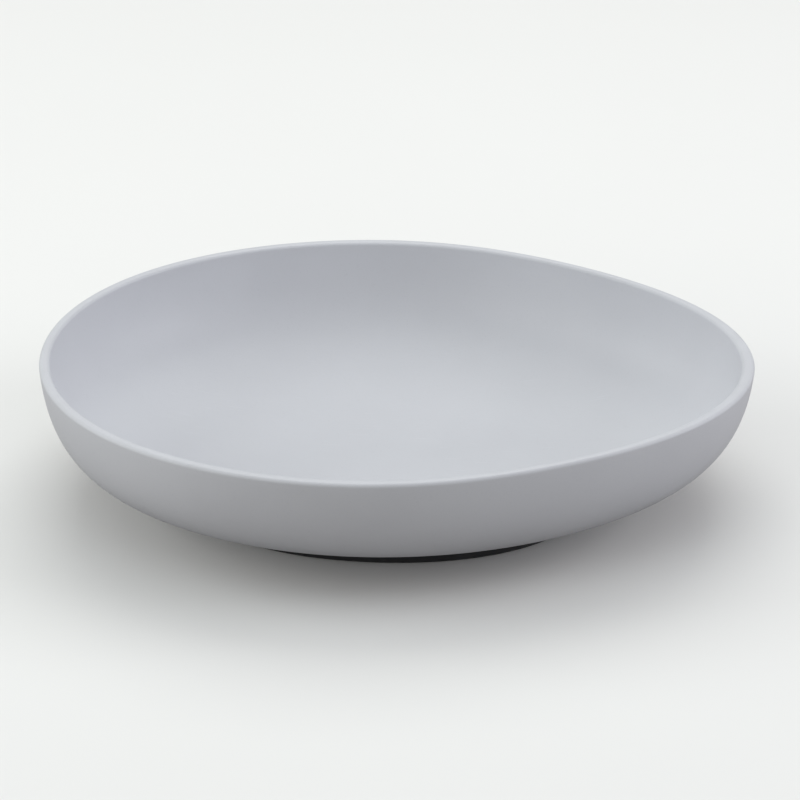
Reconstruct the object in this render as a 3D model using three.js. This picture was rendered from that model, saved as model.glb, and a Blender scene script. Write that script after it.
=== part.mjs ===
// Serving bowl for chips or other shared food: a shallow, open bowl with the outline of a
// smooth pebble, on a non-slip ring that sits in a groove under the bowl's foot.
//
// Frame: millimetres, +Z up. The origin is under the middle of the bowl, on the surface it
// stands on. +X runs along the bowl's length, towards its narrower end.

import * as THREE from 'three';
import { mergeVertices } from 'three/addons/utils/BufferGeometryUtils.js';

// Overall size
const LENGTH = 350; // along X
const HEIGHT = 72.7; // from the standing surface to the top of the lip

// Outline of the rim as a polar curve: 1 + sum of each strength times cos(k * angle)
const RIM_OVAL = 0.0767; // k = 2, makes the outline longer than it is wide
const RIM_POINT = 0.0244; // k = 3, makes the +X end narrower
const RIM_SQUARE = 0.0122; // k = 4, flattens the long sides
const RIM_LEAN = 0.0051; // k = 5, moves the widest place towards -X
const FOOT_OVAL = 0.103; // k = 2, the only one in the foot's plainer oval

// Mean radii of the outlines; the rim's follows from the length it has to give
const RIM_RADIUS = LENGTH / (2 * (1 + RIM_OVAL + RIM_SQUARE));
const RIM_CENTRE_X = -RIM_RADIUS * (RIM_POINT + RIM_LEAN);
const FOOT_RADIUS = 95;
const FOOT_CENTRE_X = -4.6;

// Wall and lip
const LIP_WIDTH = 5.4;
const LIP_EDGE_RADIUS = 1.8;
const WALL_THICKNESS = 5.3;
const WALL_LEAN = THREE.MathUtils.degToRad(5.1); // from the vertical, at the lip
const WALL_RISE = THREE.MathUtils.degToRad(15.1); // from the horizontal, at the foot
const WALL_LOWER_REACH = 38.6; // how far the curve keeps to its direction at the foot
const WALL_UPPER_REACH = 47.3; // and at the lip

// Foot, floor and recessed underside
const FOOT_HEIGHT = 10.5; // up to where the wall starts
const FOOT_FILLET = 2; // between the foot and the wall
const FOOT_EDGE_RADIUS = 0.6;
const FOOT_WIDTH = 10.5;
const UNDERSIDE = 9.5;
const UNDERSIDE_CHAMFER = 2;
const FLOOR_TOP = 15;
const FLOOR_RADIUS = 70; // where the flat floor starts to curve up
const FLOOR_BLEND_END = 0.14; // share of the wall curve at which the blend has ended

// Non-slip ring and its rib
const RING_HEIGHT = 4;
const RING_INSET = 0.3; // from the foot's outer face
const RING_WIDTH = 8;
const RING_EDGE_RADIUS = 0.6;
const RIB_WIDTH = 3.2;
const RIB_HEIGHT = 2.2;
const RIB_EDGE_RADIUS = 0.5;
const CLEARANCE = 0.3; // between the ring and the bowl, all round

const SEGMENTS_ROUND = 80;
const WALL_STEPS = 11;
const BLEND_STEPS = 5;
const EDGE_STEPS = 3;

const QUARTER_TURN = Math.PI / 2;

function rimOutline(angle) {
  return 1
    + RIM_OVAL * Math.cos(2 * angle)
    + RIM_POINT * Math.cos(3 * angle)
    + RIM_SQUARE * Math.cos(4 * angle)
    + RIM_LEAN * Math.cos(5 * angle);
}

function footOutline(angle) {
  return 1 + FOOT_OVAL * Math.cos(2 * angle);
}

// Points along an arc, both ends included
function arc(centreX, centreY, radius, from, to, steps = EDGE_STEPS) {
  const points = [];
  for (let i = 0; i <= steps; i += 1) {
    const angle = THREE.MathUtils.lerp(from, to, i / steps);
    points.push(new THREE.Vector2(
      centreX + radius * Math.cos(angle),
      centreY + radius * Math.sin(angle),
    ));
  }
  return points;
}

// Outer face of the wall in section, from the foot's fillet up to the rounding of the lip
function wallCurve() {
  const start = new THREE.Vector2(
    FOOT_RADIUS + FOOT_FILLET * (1 - Math.sin(WALL_RISE)),
    FOOT_HEIGHT,
  );
  const end = new THREE.Vector2(
    RIM_RADIUS - LIP_EDGE_RADIUS * (1 - Math.cos(WALL_LEAN)),
    HEIGHT - LIP_EDGE_RADIUS * (1 + Math.sin(WALL_LEAN)),
  );
  const lower = new THREE.Vector2(
    start.x + WALL_LOWER_REACH * Math.cos(WALL_RISE),
    start.y + WALL_LOWER_REACH * Math.sin(WALL_RISE),
  );
  const upper = new THREE.Vector2(
    end.x - WALL_UPPER_REACH * Math.sin(WALL_LEAN),
    end.y - WALL_UPPER_REACH * Math.cos(WALL_LEAN),
  );
  return new THREE.CubicBezierCurve(start, lower, upper, end);
}

// Point of the inner face, square to the outer one
function innerWallPoint(wall, share) {
  const point = wall.getPoint(share);
  const tangent = wall.getTangent(share);
  return new THREE.Vector2(
    point.x - WALL_THICKNESS * tangent.y,
    point.y + WALL_THICKNESS * tangent.x,
  );
}

// Inner face from under the lip down to where it blends into the floor
function innerWall(wall) {
  const points = [];
  for (let i = 1; i < WALL_STEPS; i += 1) {
    const share = THREE.MathUtils.lerp(1, FLOOR_BLEND_END, i / (WALL_STEPS - 1));
    points.push(innerWallPoint(wall, share));
  }
  return points;
}

// Curve that leaves the wall and the floor along their own directions
function floorBlend(wall) {
  const end = innerWallPoint(wall, FLOOR_BLEND_END);
  const slope = wall.getTangent(FLOOR_BLEND_END);
  const corner = new THREE.Vector2(end.x - (end.y - FLOOR_TOP) * slope.x / slope.y, FLOOR_TOP);
  const start = new THREE.Vector2(FLOOR_RADIUS, FLOOR_TOP);
  return new THREE.QuadraticBezierCurve(end, corner, start).getPoints(BLEND_STEPS).slice(1);
}

// Underside from the axis out to the foot, with the groove for the ring's rib
function undersideProfile() {
  const land = RING_HEIGHT + CLEARANCE;
  const inner = FOOT_RADIUS - FOOT_WIDTH;
  const groove = FOOT_RADIUS - RING_INSET - RING_WIDTH / 2;
  const grooveHalf = RIB_WIDTH / 2 + CLEARANCE;
  const grooveTop = RING_HEIGHT + RIB_HEIGHT + CLEARANCE;
  return [
    new THREE.Vector2(0, UNDERSIDE),
    new THREE.Vector2(inner - UNDERSIDE_CHAMFER, UNDERSIDE),
    new THREE.Vector2(inner, UNDERSIDE - UNDERSIDE_CHAMFER),
    new THREE.Vector2(inner, land),
    new THREE.Vector2(groove - grooveHalf, land),
    new THREE.Vector2(groove - grooveHalf, grooveTop),
    new THREE.Vector2(groove + grooveHalf, grooveTop),
    new THREE.Vector2(groove + grooveHalf, land),
  ];
}

// Outer face of the foot: a rounded edge, an upright face and the fillet into the wall
function footProfile() {
  const edgeX = FOOT_RADIUS - FOOT_EDGE_RADIUS;
  const edgeY = RING_HEIGHT + CLEARANCE + FOOT_EDGE_RADIUS;
  const filletX = FOOT_RADIUS + FOOT_FILLET;
  const filletY = FOOT_HEIGHT - FOOT_FILLET * Math.cos(WALL_RISE);
  return [
    ...arc(edgeX, edgeY, FOOT_EDGE_RADIUS, -QUARTER_TURN, 0, 2),
    ...arc(filletX, filletY, FOOT_FILLET, Math.PI, QUARTER_TURN + WALL_RISE),
  ];
}

function lipProfile() {
  const centreY = HEIGHT - LIP_EDGE_RADIUS;
  const outerX = RIM_RADIUS - LIP_EDGE_RADIUS;
  const innerX = RIM_RADIUS - LIP_WIDTH + LIP_EDGE_RADIUS;
  return [
    ...arc(outerX, centreY, LIP_EDGE_RADIUS, -WALL_LEAN, QUARTER_TURN),
    ...arc(innerX, centreY, LIP_EDGE_RADIUS, QUARTER_TURN, Math.PI - WALL_LEAN),
  ];
}

function bowlProfile() {
  const wall = wallCurve();
  return [
    ...undersideProfile(),
    ...footProfile(),
    ...wall.getPoints(WALL_STEPS).slice(1, -1),
    ...lipProfile(),
    ...innerWall(wall),
    ...floorBlend(wall),
    new THREE.Vector2(0, FLOOR_TOP),
  ];
}

// Section of the ring: a flat band with rounded edges and a rib on top, closed on itself
function ringProfile() {
  const outer = FOOT_RADIUS - RING_INSET;
  const inner = outer - RING_WIDTH;
  const middle = (outer + inner) / 2;
  const ribOuter = middle + RIB_WIDTH / 2;
  const ribInner = middle - RIB_WIDTH / 2;
  const ribTop = RING_HEIGHT + RIB_HEIGHT;
  const edge = RING_EDGE_RADIUS;
  const points = [
    ...arc(outer - edge, edge, edge, -QUARTER_TURN, 0, 2),
    ...arc(outer - edge, RING_HEIGHT - edge, edge, 0, QUARTER_TURN, 2),
    new THREE.Vector2(ribOuter, RING_HEIGHT),
    new THREE.Vector2(ribOuter, ribTop - RIB_EDGE_RADIUS),
    new THREE.Vector2(ribOuter - RIB_EDGE_RADIUS, ribTop),
    new THREE.Vector2(ribInner + RIB_EDGE_RADIUS, ribTop),
    new THREE.Vector2(ribInner, ribTop - RIB_EDGE_RADIUS),
    new THREE.Vector2(ribInner, RING_HEIGHT),
    ...arc(inner + edge, RING_HEIGHT - edge, edge, QUARTER_TURN, Math.PI, 2),
    ...arc(inner + edge, edge, edge, Math.PI, Math.PI + QUARTER_TURN, 2),
  ];
  points.push(points[0].clone());
  return points;
}

// Turns a round body into the bowl's outline: the foot's oval up to the foot's radius, and
// from there outwards a steady change to the rim's outline and centre
function reshape(geometry) {
  const position = geometry.getAttribute('position');
  for (let i = 0; i < position.count; i += 1) {
    const x = position.getX(i);
    const y = position.getY(i);
    const radius = Math.hypot(x, y);
    const angle = Math.atan2(y, x);
    const share = THREE.MathUtils.clamp((radius - FOOT_RADIUS) / (RIM_RADIUS - FOOT_RADIUS), 0, 1);
    const outline = THREE.MathUtils.lerp(footOutline(angle), rimOutline(angle), share);
    const centreX = THREE.MathUtils.lerp(FOOT_CENTRE_X, RIM_CENTRE_X, share);
    position.setX(i, centreX + radius * outline * Math.cos(angle));
    position.setY(i, radius * outline * Math.sin(angle));
  }
  return geometry;
}

// Solid of revolution about Z from a section given as (radius, height) points
function turned(profile) {
  const lathe = new THREE.LatheGeometry(profile, SEGMENTS_ROUND);
  lathe.deleteAttribute('normal');
  lathe.deleteAttribute('uv');
  lathe.rotateX(QUARTER_TURN);
  return mergeVertices(lathe, 1e-4);
}

function makeMesh(name, profile, material) {
  const geometry = reshape(turned(profile));
  geometry.computeVertexNormals();
  const mesh = new THREE.Mesh(geometry, material);
  mesh.name = name;
  return mesh;
}

const bowlMaterial = new THREE.MeshStandardMaterial({
  color: 0xbdc1c8,
  roughness: 0.45,
  metalness: 0,
});

const ringMaterial = new THREE.MeshStandardMaterial({
  color: 0x2f3133,
  roughness: 0.8,
  metalness: 0,
});

const servingBowl = new THREE.Group();
servingBowl.add(makeMesh('bowl', bowlProfile(), bowlMaterial));
servingBowl.add(makeMesh('non_slip_ring', ringProfile(), ringMaterial));

export default servingBowl;
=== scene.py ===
"""Serving bowl in pale satin grey on a dark non-slip ring, on a pale floor in soft studio light.

Metres, +Z up. +X runs along the bowl's length towards its narrower end, and the origin is
under the middle of the bowl, on the surface it stands on.
"""

import math

import bpy
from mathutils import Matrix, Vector


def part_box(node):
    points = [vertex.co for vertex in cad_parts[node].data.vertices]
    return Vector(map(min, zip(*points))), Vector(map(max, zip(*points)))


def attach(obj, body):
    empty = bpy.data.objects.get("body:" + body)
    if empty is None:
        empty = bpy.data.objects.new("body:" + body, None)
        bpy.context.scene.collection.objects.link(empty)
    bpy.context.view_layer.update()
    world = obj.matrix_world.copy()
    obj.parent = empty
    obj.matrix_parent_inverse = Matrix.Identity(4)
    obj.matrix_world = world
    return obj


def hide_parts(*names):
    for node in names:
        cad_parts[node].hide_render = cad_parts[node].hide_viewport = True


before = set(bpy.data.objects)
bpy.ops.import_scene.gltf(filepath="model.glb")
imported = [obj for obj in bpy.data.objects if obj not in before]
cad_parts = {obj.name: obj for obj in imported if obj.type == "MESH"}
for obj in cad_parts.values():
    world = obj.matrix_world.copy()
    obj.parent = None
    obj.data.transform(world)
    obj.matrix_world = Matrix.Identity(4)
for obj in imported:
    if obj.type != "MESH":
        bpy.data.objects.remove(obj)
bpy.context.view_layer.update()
bowl_low, bowl_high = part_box("bowl")
ring_low, ring_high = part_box("non_slip_ring")

# Outline of the rim as a polar curve: 1 + sum of each strength times cos(k * angle)
RIM_STRENGTHS = {2: 0.0767, 3: 0.0244, 4: 0.0122, 5: 0.0051}
FOOT_STRENGTHS = {2: 0.103}

# Sizes taken from the frame
LENGTH = bowl_high.x - bowl_low.x
HEIGHT = bowl_high.z
FOOT_LAND = bowl_low.z
RIM_RADIUS = LENGTH / (2 * (1 + RIM_STRENGTHS[2] + RIM_STRENGTHS[4]))
RIM_CENTRE_X = -RIM_RADIUS * (RIM_STRENGTHS[3] + RIM_STRENGTHS[5])
RING_RADIUS = (ring_high.x - ring_low.x) / (2 * (1 + FOOT_STRENGTHS[2]))
FOOT_CENTRE_X = (ring_high.x + ring_low.x) / 2
RIB_TOP = ring_high.z

# Bowl's section
LIP_WIDTH = 0.0054
LIP_EDGE_RADIUS = 0.0018
WALL_THICKNESS = 0.0053
WALL_LEAN = math.radians(5.1)  # from the vertical, at the lip
WALL_RISE = math.radians(15.1)  # from the horizontal, at the foot
WALL_LOWER_REACH = 0.0386
WALL_UPPER_REACH = 0.0473
RING_INSET = 0.0003
FOOT_RADIUS = RING_RADIUS + RING_INSET
FOOT_HEIGHT = 0.0105
FOOT_FILLET = 0.002
FOOT_EDGE_RADIUS = 0.0006
FOOT_WIDTH = 0.0105
UNDERSIDE = 0.0095
UNDERSIDE_FILLET = 0.002
FLOOR_TOP = 0.015
FLOOR_RADIUS = 0.070
FLOOR_BLEND_END = 0.14  # share of the wall curve

# Ring's section
CLEARANCE = 0.0003
RING_HEIGHT = FOOT_LAND - CLEARANCE
RING_WIDTH = 0.008
RING_EDGE_RADIUS = 0.0006
RIB_WIDTH = 0.0032
RIB_EDGE_RADIUS = 0.0005

# How finely the pieces are divided
SEGMENTS_ROUND = 288
WALL_STEPS = 44
FLOOR_BLEND_STEPS = 14
FLAT_STEPS = 12
FILLET_STEPS = 8
LIP_EDGE_STEPS = 10
FOOT_EDGE_STEPS = 5
RING_EDGE_STEPS = 6
RIB_EDGE_STEPS = 4
RING_BASE_STEPS = 4

# Colours
BODY_DARKER = (0.517, 0.525, 0.560, 1)
BODY_LIGHTER = (0.537, 0.545, 0.580, 1)
BODY_SPECKLE = (0.417, 0.42, 0.448, 1)
BODY_SCUFF = (0.556, 0.564, 0.600, 1)
# Lip patches: partly wear, partly painted shade that darkens the lit lip top
LIP_WORN_AND_SHADED = (0.505, 0.512, 0.545, 1)
# Darker in patches towards the foot's bottom edge, just above the ring
FOOT_DARKER_EDGE = (0.33, 0.34, 0.37, 1)
SILICONE = (0.026, 0.027, 0.029, 1)
SILICONE_DUSTY = (0.060, 0.061, 0.063, 1)
SILICONE_WORN = (0.075, 0.075, 0.076, 1)
FLOOR_DARKER = (0.76, 0.757, 0.75, 1)
FLOOR_LIGHTER = (0.78, 0.777, 0.77, 1)
FLOOR_BOUNCE = (0.39, 0.38, 0.37, 1)  # for the light it throws back; it looks paler itself

# Wear, painted shade on the lip and darkening at the foot: heights between which each kind fades in
SCUFFS_FROM, SCUFFS_FULL = 0.032, 0.018
LIP_WEAR_AND_SHADE_FROM, LIP_WEAR_AND_SHADE_FULL = HEIGHT - 0.0022, HEIGHT - 0.0004
FOOT_DARKENING_FROM, FOOT_DARKENING_FULL = FOOT_LAND + 0.0016, FOOT_LAND + 0.0001
RING_WEAR_FROM, RING_WEAR_FULL = 0.0009, 0.0
SCUFF_DIRECTION = 24.0  # degrees
CROSS_SCUFF_DIRECTION = -51.0

# Depths of the relief
WAVES_DEPTH = 0.00012
PEEL_DEPTH = 0.000018
SCUFF_DEPTH = 0.00001
GRAIN_DEPTH = 0.00004

# Camera
CAMERA_AZIMUTH = math.radians(4.73)
CAMERA_ELEVATION = math.radians(24.3)
CAMERA_DISTANCE = 1.609
CAMERA_TARGET = Vector((0.0017, 0.0005, 0.0468))
LENS = 146.6

# Lights: name, place, side of the square, power in watts and colour; each looks at the bowl
LIGHTS = [
    ("top_front_softbox", (0.0, -0.6, 1.9), 1.6, 5.1, (0.88, 1.0, 1.04)),
    ("top_back_softbox", (0.0, 1.0, 1.7), 1.6, 16.5, (0.98, 1.0, 0.97)),
    ("left_softbox", (-1.8, 0.0, 0.75), 1.2, 13.8, (0.96, 1.0, 0.98)),
    ("right_softbox", (1.8, 0.0, 0.75), 1.2, 16.1, (1.0, 1.0, 1.04)),
    ("left_front_softbox", (-1.4, -1.4, 0.9), 1.2, 8.6, (1.02, 1.0, 0.95)),
]
WORLD_STRENGTH = 0.438
BACKDROP_STRENGTH = 1.0  # as the camera sees it beyond the floor
FLOOR_SIZE = 3.6
FLOOR_GAP = 0.0001  # keeps the floor clear of the ring's own face


def arc(centre_r, centre_z, radius, start, end, steps):
    """Points along an arc of the section, both ends included; angles in radians."""
    angles = [start + (end - start) * i / steps for i in range(steps + 1)]
    return [(centre_r + radius * math.cos(a), centre_z + radius * math.sin(a)) for a in angles]


def line(start, end, steps):
    """Points along a straight stretch of the section, without its two ends."""
    shares = [i / steps for i in range(1, steps)]
    return [(start[0] + (end[0] - start[0]) * s, start[1] + (end[1] - start[1]) * s) for s in shares]


def wall_controls():
    """Control points of the wall's outer face, from the foot's fillet up to the lip."""
    start = Vector((FOOT_RADIUS + FOOT_FILLET * (1 - math.sin(WALL_RISE)), FOOT_HEIGHT))
    end = Vector((
        RIM_RADIUS - LIP_EDGE_RADIUS * (1 - math.cos(WALL_LEAN)),
        HEIGHT - LIP_EDGE_RADIUS * (1 + math.sin(WALL_LEAN)),
    ))
    lower = start + WALL_LOWER_REACH * Vector((math.cos(WALL_RISE), math.sin(WALL_RISE)))
    upper = end - WALL_UPPER_REACH * Vector((math.sin(WALL_LEAN), math.cos(WALL_LEAN)))
    return start, lower, upper, end


def wall_point(share):
    a, b, c, d = wall_controls()
    u = 1 - share
    return u**3 * a + 3 * u * u * share * b + 3 * u * share * share * c + share**3 * d


def wall_direction(share):
    a, b, c, d = wall_controls()
    u = 1 - share
    return (u * u * (b - a) + 2 * u * share * (c - b) + share * share * (d - c)).normalized()


def inner_wall_point(share):
    """Point of the inner face, square to the outer one."""
    point = wall_point(share)
    direction = wall_direction(share)
    return point + WALL_THICKNESS * Vector((-direction.y, direction.x))


def underside_profile():
    """Recessed underside from the axis out to the foot, with the groove for the rib."""
    inner = FOOT_RADIUS - FOOT_WIDTH
    groove = FOOT_RADIUS - RING_INSET - RING_WIDTH / 2
    half = RIB_WIDTH / 2 + CLEARANCE
    top = RIB_TOP + CLEARANCE
    fillet_r = inner - UNDERSIDE_FILLET
    return [
        (0.0, UNDERSIDE),
        *line((0.0, UNDERSIDE), (fillet_r, UNDERSIDE), FLAT_STEPS),
        *arc(fillet_r, UNDERSIDE - UNDERSIDE_FILLET, UNDERSIDE_FILLET,
             math.pi / 2, 0, FILLET_STEPS),
        *arc(inner + FOOT_EDGE_RADIUS, FOOT_LAND + FOOT_EDGE_RADIUS, FOOT_EDGE_RADIUS,
             math.pi, math.pi * 1.5, FOOT_EDGE_STEPS),
        (groove - half, FOOT_LAND),
        (groove - half, top),
        (groove + half, top),
        (groove + half, FOOT_LAND),
    ]


def foot_profile():
    """Outer face of the foot: a rounded edge, an upright face and the fillet into the wall."""
    fillet_z = FOOT_HEIGHT - FOOT_FILLET * math.cos(WALL_RISE)
    return [
        *arc(FOOT_RADIUS - FOOT_EDGE_RADIUS, FOOT_LAND + FOOT_EDGE_RADIUS, FOOT_EDGE_RADIUS,
             -math.pi / 2, 0, FOOT_EDGE_STEPS),
        *arc(FOOT_RADIUS + FOOT_FILLET, fillet_z, FOOT_FILLET,
             math.pi, math.pi / 2 + WALL_RISE, FILLET_STEPS),
    ]


def lip_profile():
    """Rounded outer edge, narrow flat top and rounded inner edge of the lip."""
    centre_z = HEIGHT - LIP_EDGE_RADIUS
    outer_r = RIM_RADIUS - LIP_EDGE_RADIUS
    inner_r = RIM_RADIUS - LIP_WIDTH + LIP_EDGE_RADIUS
    return [
        *arc(outer_r, centre_z, LIP_EDGE_RADIUS, -WALL_LEAN, math.pi / 2, LIP_EDGE_STEPS),
        *arc(inner_r, centre_z, LIP_EDGE_RADIUS, math.pi / 2, math.pi - WALL_LEAN, LIP_EDGE_STEPS),
    ]


def floor_blend_profile():
    """Curve that leaves the wall and the floor along their own directions."""
    end = inner_wall_point(FLOOR_BLEND_END)
    slope = wall_direction(FLOOR_BLEND_END)
    corner = Vector((end.x - (end.y - FLOOR_TOP) * slope.x / slope.y, FLOOR_TOP))
    start = Vector((FLOOR_RADIUS, FLOOR_TOP))
    shares = [i / FLOOR_BLEND_STEPS for i in range(1, FLOOR_BLEND_STEPS + 1)]
    return [tuple((1 - s) ** 2 * end + 2 * s * (1 - s) * corner + s * s * start) for s in shares]


def bowl_profile():
    """Section of the bowl as (radius, height) points, from the axis round to the axis."""
    outer = [tuple(wall_point(i / WALL_STEPS)) for i in range(1, WALL_STEPS)]
    shares = [1 - (1 - FLOOR_BLEND_END) * i / WALL_STEPS for i in range(1, WALL_STEPS + 1)]
    inner = [tuple(inner_wall_point(share)) for share in shares]
    return [
        *underside_profile(),
        *foot_profile(),
        *outer,
        *lip_profile(),
        *inner,
        *floor_blend_profile(),
        *line((FLOOR_RADIUS, FLOOR_TOP), (0.0, FLOOR_TOP), FLAT_STEPS),
        (0.0, FLOOR_TOP),
    ]


def ring_profile():
    """Section of the ring as a closed loop: a flat band with rounded edges and a rib on top."""
    outer = RING_RADIUS
    inner = RING_RADIUS - RING_WIDTH
    middle = (outer + inner) / 2
    edge = RING_EDGE_RADIUS
    rib_edge = RIB_EDGE_RADIUS
    rib_outer = middle + RIB_WIDTH / 2
    rib_inner = middle - RIB_WIDTH / 2
    quarter = math.pi / 2
    return [
        *arc(outer - edge, edge, edge, -quarter, 0, RING_EDGE_STEPS),
        *arc(outer - edge, RING_HEIGHT - edge, edge, 0, quarter, RING_EDGE_STEPS),
        (rib_outer, RING_HEIGHT),
        *arc(rib_outer - rib_edge, RIB_TOP - rib_edge, rib_edge, 0, quarter, RIB_EDGE_STEPS),
        *arc(rib_inner + rib_edge, RIB_TOP - rib_edge, rib_edge, quarter, math.pi, RIB_EDGE_STEPS),
        (rib_inner, RING_HEIGHT),
        *arc(inner + edge, RING_HEIGHT - edge, edge, quarter, math.pi, RING_EDGE_STEPS),
        *arc(inner + edge, edge, edge, math.pi, math.pi + quarter, RING_EDGE_STEPS),
        *line((inner + edge, 0.0), (outer - edge, 0.0), RING_BASE_STEPS),
    ]


def outline(strengths, angle):
    return 1 + sum(strength * math.cos(k * angle) for k, strength in strengths.items())


def reshaped(radius, angle, height):
    """Turns a point of a round body into the bowl's outline, as the CAD model does."""
    share = min(max((radius - FOOT_RADIUS) / (RIM_RADIUS - FOOT_RADIUS), 0.0), 1.0)
    foot = outline(FOOT_STRENGTHS, angle)
    rim = outline(RIM_STRENGTHS, angle)
    shape = foot + (rim - foot) * share
    centre_x = FOOT_CENTRE_X + (RIM_CENTRE_X - FOOT_CENTRE_X) * share
    return (
        centre_x + radius * shape * math.cos(angle),
        radius * shape * math.sin(angle),
        height,
    )


def turned_mesh(name, profile, closed):
    """Sweeps the section round the bowl; ends on the axis become single points."""
    vertices = []
    rows = []
    for radius, height in profile:
        if radius == 0.0:
            rows.append([len(vertices)])
            vertices.append((FOOT_CENTRE_X, 0.0, height))
            continue
        rows.append(range(len(vertices), len(vertices) + SEGMENTS_ROUND))
        for i in range(SEGMENTS_ROUND):
            angle = 2 * math.pi * i / SEGMENTS_ROUND
            vertices.append(reshaped(radius, angle, height))
    if closed:
        rows.append(rows[0])
    faces = []
    for lower, upper in zip(rows, rows[1:]):
        for i in range(SEGMENTS_ROUND):
            j = (i + 1) % SEGMENTS_ROUND
            if len(lower) == 1:
                faces.append((lower[0], upper[j], upper[i]))
            elif len(upper) == 1:
                faces.append((lower[i], lower[j], upper[0]))
            else:
                faces.append((lower[i], lower[j], upper[j], upper[i]))
    mesh = bpy.data.meshes.new(name)
    mesh.from_pydata(vertices, [], faces)
    mesh.shade_smooth()
    return mesh


def make_piece(name, mesh, node, material):
    """Links the mesh as a piece that stands for its CAD node."""
    piece = bpy.data.objects.new(name, mesh)
    bpy.context.scene.collection.objects.link(piece)
    piece.data.materials.append(material)
    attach(piece, "root")
    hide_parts(node)
    return piece


def new_material(name):
    material = bpy.data.materials.new(name)
    material.use_nodes = True
    tree = material.node_tree
    return material, tree, tree.nodes["Principled BSDF"]


def noise(tree, coordinates, scale, detail=3.0, roughness=0.5):
    node = tree.nodes.new("ShaderNodeTexNoise")
    node.inputs["Scale"].default_value = scale
    node.inputs["Detail"].default_value = detail
    node.inputs["Roughness"].default_value = roughness
    tree.links.new(coordinates, node.inputs["Vector"])
    return node.outputs["Fac"]


def mapped(tree, value, from_min, from_max, to_min, to_max):
    node = tree.nodes.new("ShaderNodeMapRange")
    node.inputs["From Min"].default_value = from_min
    node.inputs["From Max"].default_value = from_max
    node.inputs["To Min"].default_value = to_min
    node.inputs["To Max"].default_value = to_max
    tree.links.new(value, node.inputs["Value"])
    return node.outputs["Result"]


def mixed_colour(tree, factor, first, second):
    """Mix of two colours; each is a socket or an (r, g, b, a) value."""
    node = tree.nodes.new("ShaderNodeMix")
    node.data_type = "RGBA"
    tree.links.new(factor, node.inputs["Factor"])
    for socket, value in ((node.inputs[6], first), (node.inputs[7], second)):
        if isinstance(value, tuple):
            socket.default_value = value
        else:
            tree.links.new(value, socket)
    return node.outputs[2]


def mixed_value(tree, factor, first, second):
    """Mix of a socket's value with a fixed one."""
    node = tree.nodes.new("ShaderNodeMix")
    node.data_type = "FLOAT"
    tree.links.new(factor, node.inputs["Factor"])
    tree.links.new(first, node.inputs["A"])
    node.inputs["B"].default_value = second
    return node.outputs["Result"]


def bump(tree, height, distance, normal=None):
    node = tree.nodes.new("ShaderNodeBump")
    node.inputs["Distance"].default_value = distance
    tree.links.new(height, node.inputs["Height"])
    if normal is not None:
        tree.links.new(normal, node.inputs["Normal"])
    return node.outputs["Normal"]


def height_mask(tree, coordinates, start, end):
    """Runs from 0 at the start height to 1 at the end height."""
    split = tree.nodes.new("ShaderNodeSeparateXYZ")
    tree.links.new(coordinates, split.inputs["Vector"])
    return mapped(tree, split.outputs["Z"], start, end, 0.0, 1.0)


def product(tree, first, second):
    node = tree.nodes.new("ShaderNodeMath")
    node.operation = "MULTIPLY"
    tree.links.new(first, node.inputs[0])
    tree.links.new(second, node.inputs[1])
    return node.outputs["Value"]


def stretched(tree, coordinates, turn, scale):
    """Coordinates turned about the vertical and scaled by a different amount along each axis."""
    node = tree.nodes.new("ShaderNodeMapping")
    node.inputs["Rotation"].default_value = (0.0, 0.0, math.radians(turn))
    node.inputs["Scale"].default_value = scale
    tree.links.new(coordinates, node.inputs["Vector"])
    return node.outputs["Vector"]


def scuffs(tree, coordinates, turn):
    """Short, hair-thin lines left by serving, all roughly in one direction."""
    lines = noise(tree, stretched(tree, coordinates, turn, (60.0, 1400.0, 60.0)), 1.0, 1.0)
    patches = noise(tree, stretched(tree, coordinates, turn, (22.0, 22.0, 22.0)), 1.0, 1.0)
    return product(
        tree, mapped(tree, lines, 0.66, 0.74, 0.0, 1.0), mapped(tree, patches, 0.50, 0.66, 0.0, 1.0)
    )


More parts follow.
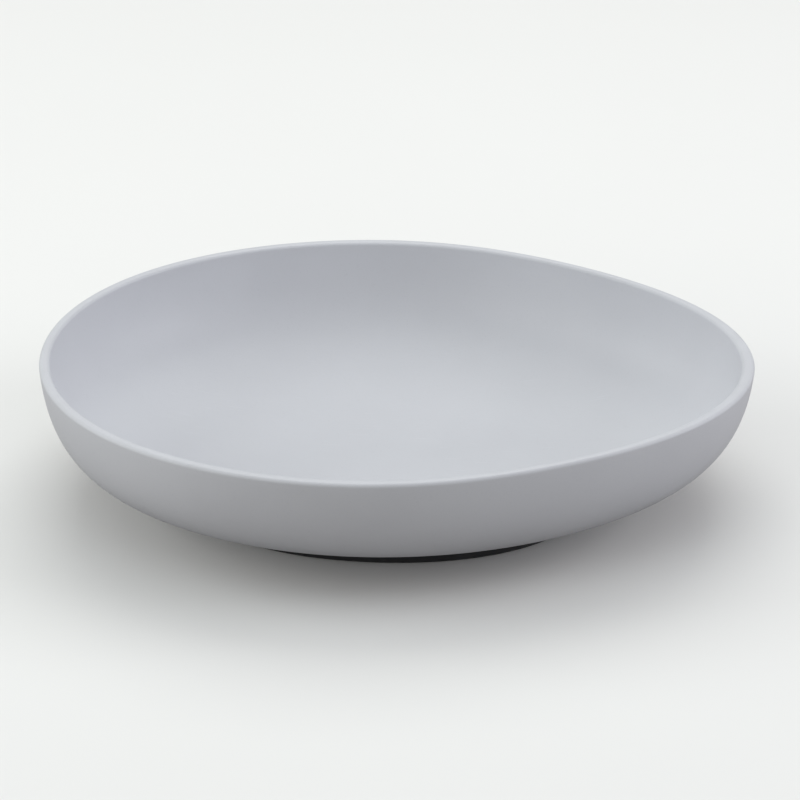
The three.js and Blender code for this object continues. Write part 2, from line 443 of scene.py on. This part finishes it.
def bowl_material():
    """Satin moulded body: faint clouding, fine filler speckle, orange peel, a worn lip darkened in
    patches with painted shade, and a foot darker in patches towards its bottom edge.
    """
    material, tree, shader = new_material("satin_body")
    coordinates = tree.nodes.new("ShaderNodeTexCoord").outputs["Object"]
    clouds = noise(tree, coordinates, 14.0, 4.0)
    speckle = noise(tree, coordinates, 1100.0, 2.0)
    peel = noise(tree, coordinates, 520.0, 2.0)
    waves = noise(tree, coordinates, 38.0, 2.0)
    patchiness = noise(tree, coordinates, 90.0, 5.0, 0.7)
    floor = height_mask(tree, coordinates, SCUFFS_FROM, SCUFFS_FULL)
    marks = product(tree, floor, scuffs(tree, coordinates, SCUFF_DIRECTION))
    cross_marks = product(tree, floor, scuffs(tree, coordinates, CROSS_SCUFF_DIRECTION))

    cloud_share = mapped(tree, clouds, 0.35, 0.65, 0.0, 1.0)
    clouded = mixed_colour(tree, cloud_share, BODY_DARKER, BODY_LIGHTER)
    speckle_share = mapped(tree, speckle, 0.60, 0.76, 0.0, 0.22)
    speckled = mixed_colour(tree, speckle_share, clouded, BODY_SPECKLE)
    lip = height_mask(tree, coordinates, LIP_WEAR_AND_SHADE_FROM, LIP_WEAR_AND_SHADE_FULL)
    lip_wear_and_shade = product(tree, lip, mapped(tree, patchiness, 0.45, 0.62, 0.0, 0.5))
    # painted shade: the lip top is darkened in patches, partly wear and partly shade painted in
    worn = mixed_colour(tree, lip_wear_and_shade, speckled, LIP_WORN_AND_SHADED)
    foot = height_mask(tree, coordinates, FOOT_DARKENING_FROM, FOOT_DARKENING_FULL)
    foot_darkening = product(tree, foot, mapped(tree, patchiness, 0.42, 0.60, 0.1, 0.7))
    # darker in patches towards the foot's bottom edge
    foot_darkened = mixed_colour(tree, foot_darkening, worn, FOOT_DARKER_EDGE)
    scuffed = mixed_colour(tree, marks, foot_darkened, BODY_SCUFF)
    colour = mixed_colour(tree, cross_marks, scuffed, BODY_SCUFF)
    tree.links.new(colour, shader.inputs["Base Color"])

    satin = mapped(tree, clouds, 0.3, 0.7, 0.47, 0.55)
    polished = mixed_value(tree, lip_wear_and_shade, satin, 0.36)
    tree.links.new(mixed_value(tree, marks, polished, 0.40), shader.inputs["Roughness"])
    shader.inputs["Specular IOR Level"].default_value = 0.42

    uneven = bump(tree, waves, WAVES_DEPTH)
    peeled = bump(tree, peel, PEEL_DEPTH, uneven)
    tree.links.new(bump(tree, marks, -SCUFF_DEPTH, peeled), shader.inputs["Normal"])
    return material


def ring_material():
    """Near-black silicone with a fine matte grain and a little dust near the floor."""
    material, tree, shader = new_material("matte_silicone")
    coordinates = tree.nodes.new("ShaderNodeTexCoord").outputs["Object"]
    grain = noise(tree, coordinates, 1600.0, 3.0)
    dust = noise(tree, coordinates, 160.0, 5.0, 0.65)
    dust_share = mapped(tree, dust, 0.50, 0.75, 0.0, 0.5)
    dusty = mixed_colour(tree, dust_share, SILICONE, SILICONE_DUSTY)
    edge = height_mask(tree, coordinates, RING_WEAR_FROM, RING_WEAR_FULL)
    edge_wear = product(tree, edge, mapped(tree, dust, 0.40, 0.60, 0.1, 0.8))
    worn = mixed_colour(tree, edge_wear, dusty, SILICONE_WORN)
    tree.links.new(worn, shader.inputs["Base Color"])
    tree.links.new(mapped(tree, dust, 0.3, 0.7, 0.62, 0.80), shader.inputs["Roughness"])
    shader.inputs["Specular IOR Level"].default_value = 0.35
    tree.links.new(bump(tree, grain, GRAIN_DEPTH), shader.inputs["Normal"])
    return material


def floor_material():
    """Pale matt floor, which throws back less light on the bowl than its looks suggest."""
    material, tree, shader = new_material("studio_floor")
    coordinates = tree.nodes.new("ShaderNodeTexCoord").outputs["Object"]
    clouds = noise(tree, coordinates, 3.0, 2.0)
    pale = mixed_colour(tree, clouds, FLOOR_DARKER, FLOOR_LIGHTER)
    seen = tree.nodes.new("ShaderNodeLightPath").outputs["Is Camera Ray"]
    colour = mixed_colour(tree, seen, FLOOR_BOUNCE, pale)
    tree.links.new(colour, shader.inputs["Base Color"])
    shader.inputs["Roughness"].default_value = 1.0
    shader.inputs["Specular IOR Level"].default_value = 0.0
    return material


def make_floor():
    half = FLOOR_SIZE / 2
    z = -FLOOR_GAP
    mesh = bpy.data.meshes.new("studio_floor")
    corners = [(-half, -half, z), (half, -half, z), (half, half, z), (-half, half, z)]
    mesh.from_pydata(corners, [], [(0, 1, 2, 3)])
    mesh.materials.append(floor_material())
    floor = bpy.data.objects.new("studio_floor", mesh)
    bpy.context.scene.collection.objects.link(floor)


def aim(obj, place, target):
    obj.location = place
    obj.rotation_euler = (target - Vector(place)).to_track_quat("-Z", "Y").to_euler()


def make_camera():
    camera = bpy.data.objects.new("camera", bpy.data.cameras.new("camera"))
    bpy.context.scene.collection.objects.link(camera)
    camera.data.lens = LENS
    camera.data.clip_start = 0.01
    direction = Vector((
        math.sin(CAMERA_AZIMUTH) * math.cos(CAMERA_ELEVATION),
        -math.cos(CAMERA_AZIMUTH) * math.cos(CAMERA_ELEVATION),
        math.sin(CAMERA_ELEVATION),
    ))
    aim(camera, CAMERA_TARGET + CAMERA_DISTANCE * direction, CAMERA_TARGET)
    bpy.context.scene.camera = camera


def make_light(name, place, size, power, colour):
    data = bpy.data.lights.new(name, "AREA")
    data.shape = "SQUARE"
    data.size = size
    data.energy = power
    data.color = colour
    light = bpy.data.objects.new(name, data)
    bpy.context.scene.collection.objects.link(light)
    aim(light, place, Vector((0.0, 0.0, HEIGHT / 2)))


def make_world():
    world = bpy.data.worlds.new("studio")
    world.use_nodes = True
    tree = world.node_tree
    background = tree.nodes["Background"]
    background.inputs["Color"].default_value = (1, 1, 1, 1)
    seen = tree.nodes.new("ShaderNodeLightPath").outputs["Is Camera Ray"]
    strength = mapped(tree, seen, 0.0, 1.0, WORLD_STRENGTH, BACKDROP_STRENGTH)
    tree.links.new(strength, background.inputs["Strength"])
    bpy.context.scene.world = world


make_camera()
make_floor()
make_world()
for light in LIGHTS:
    make_light(*light)
bpy.context.scene.view_settings.view_transform = "Standard"

make_piece(
    "serving_bowl", turned_mesh("serving_bowl", bowl_profile(), False),
    "bowl", bowl_material(),
)
make_piece(
    "foot_ring", turned_mesh("foot_ring", ring_profile(), True),
    "non_slip_ring", ring_material(),
)
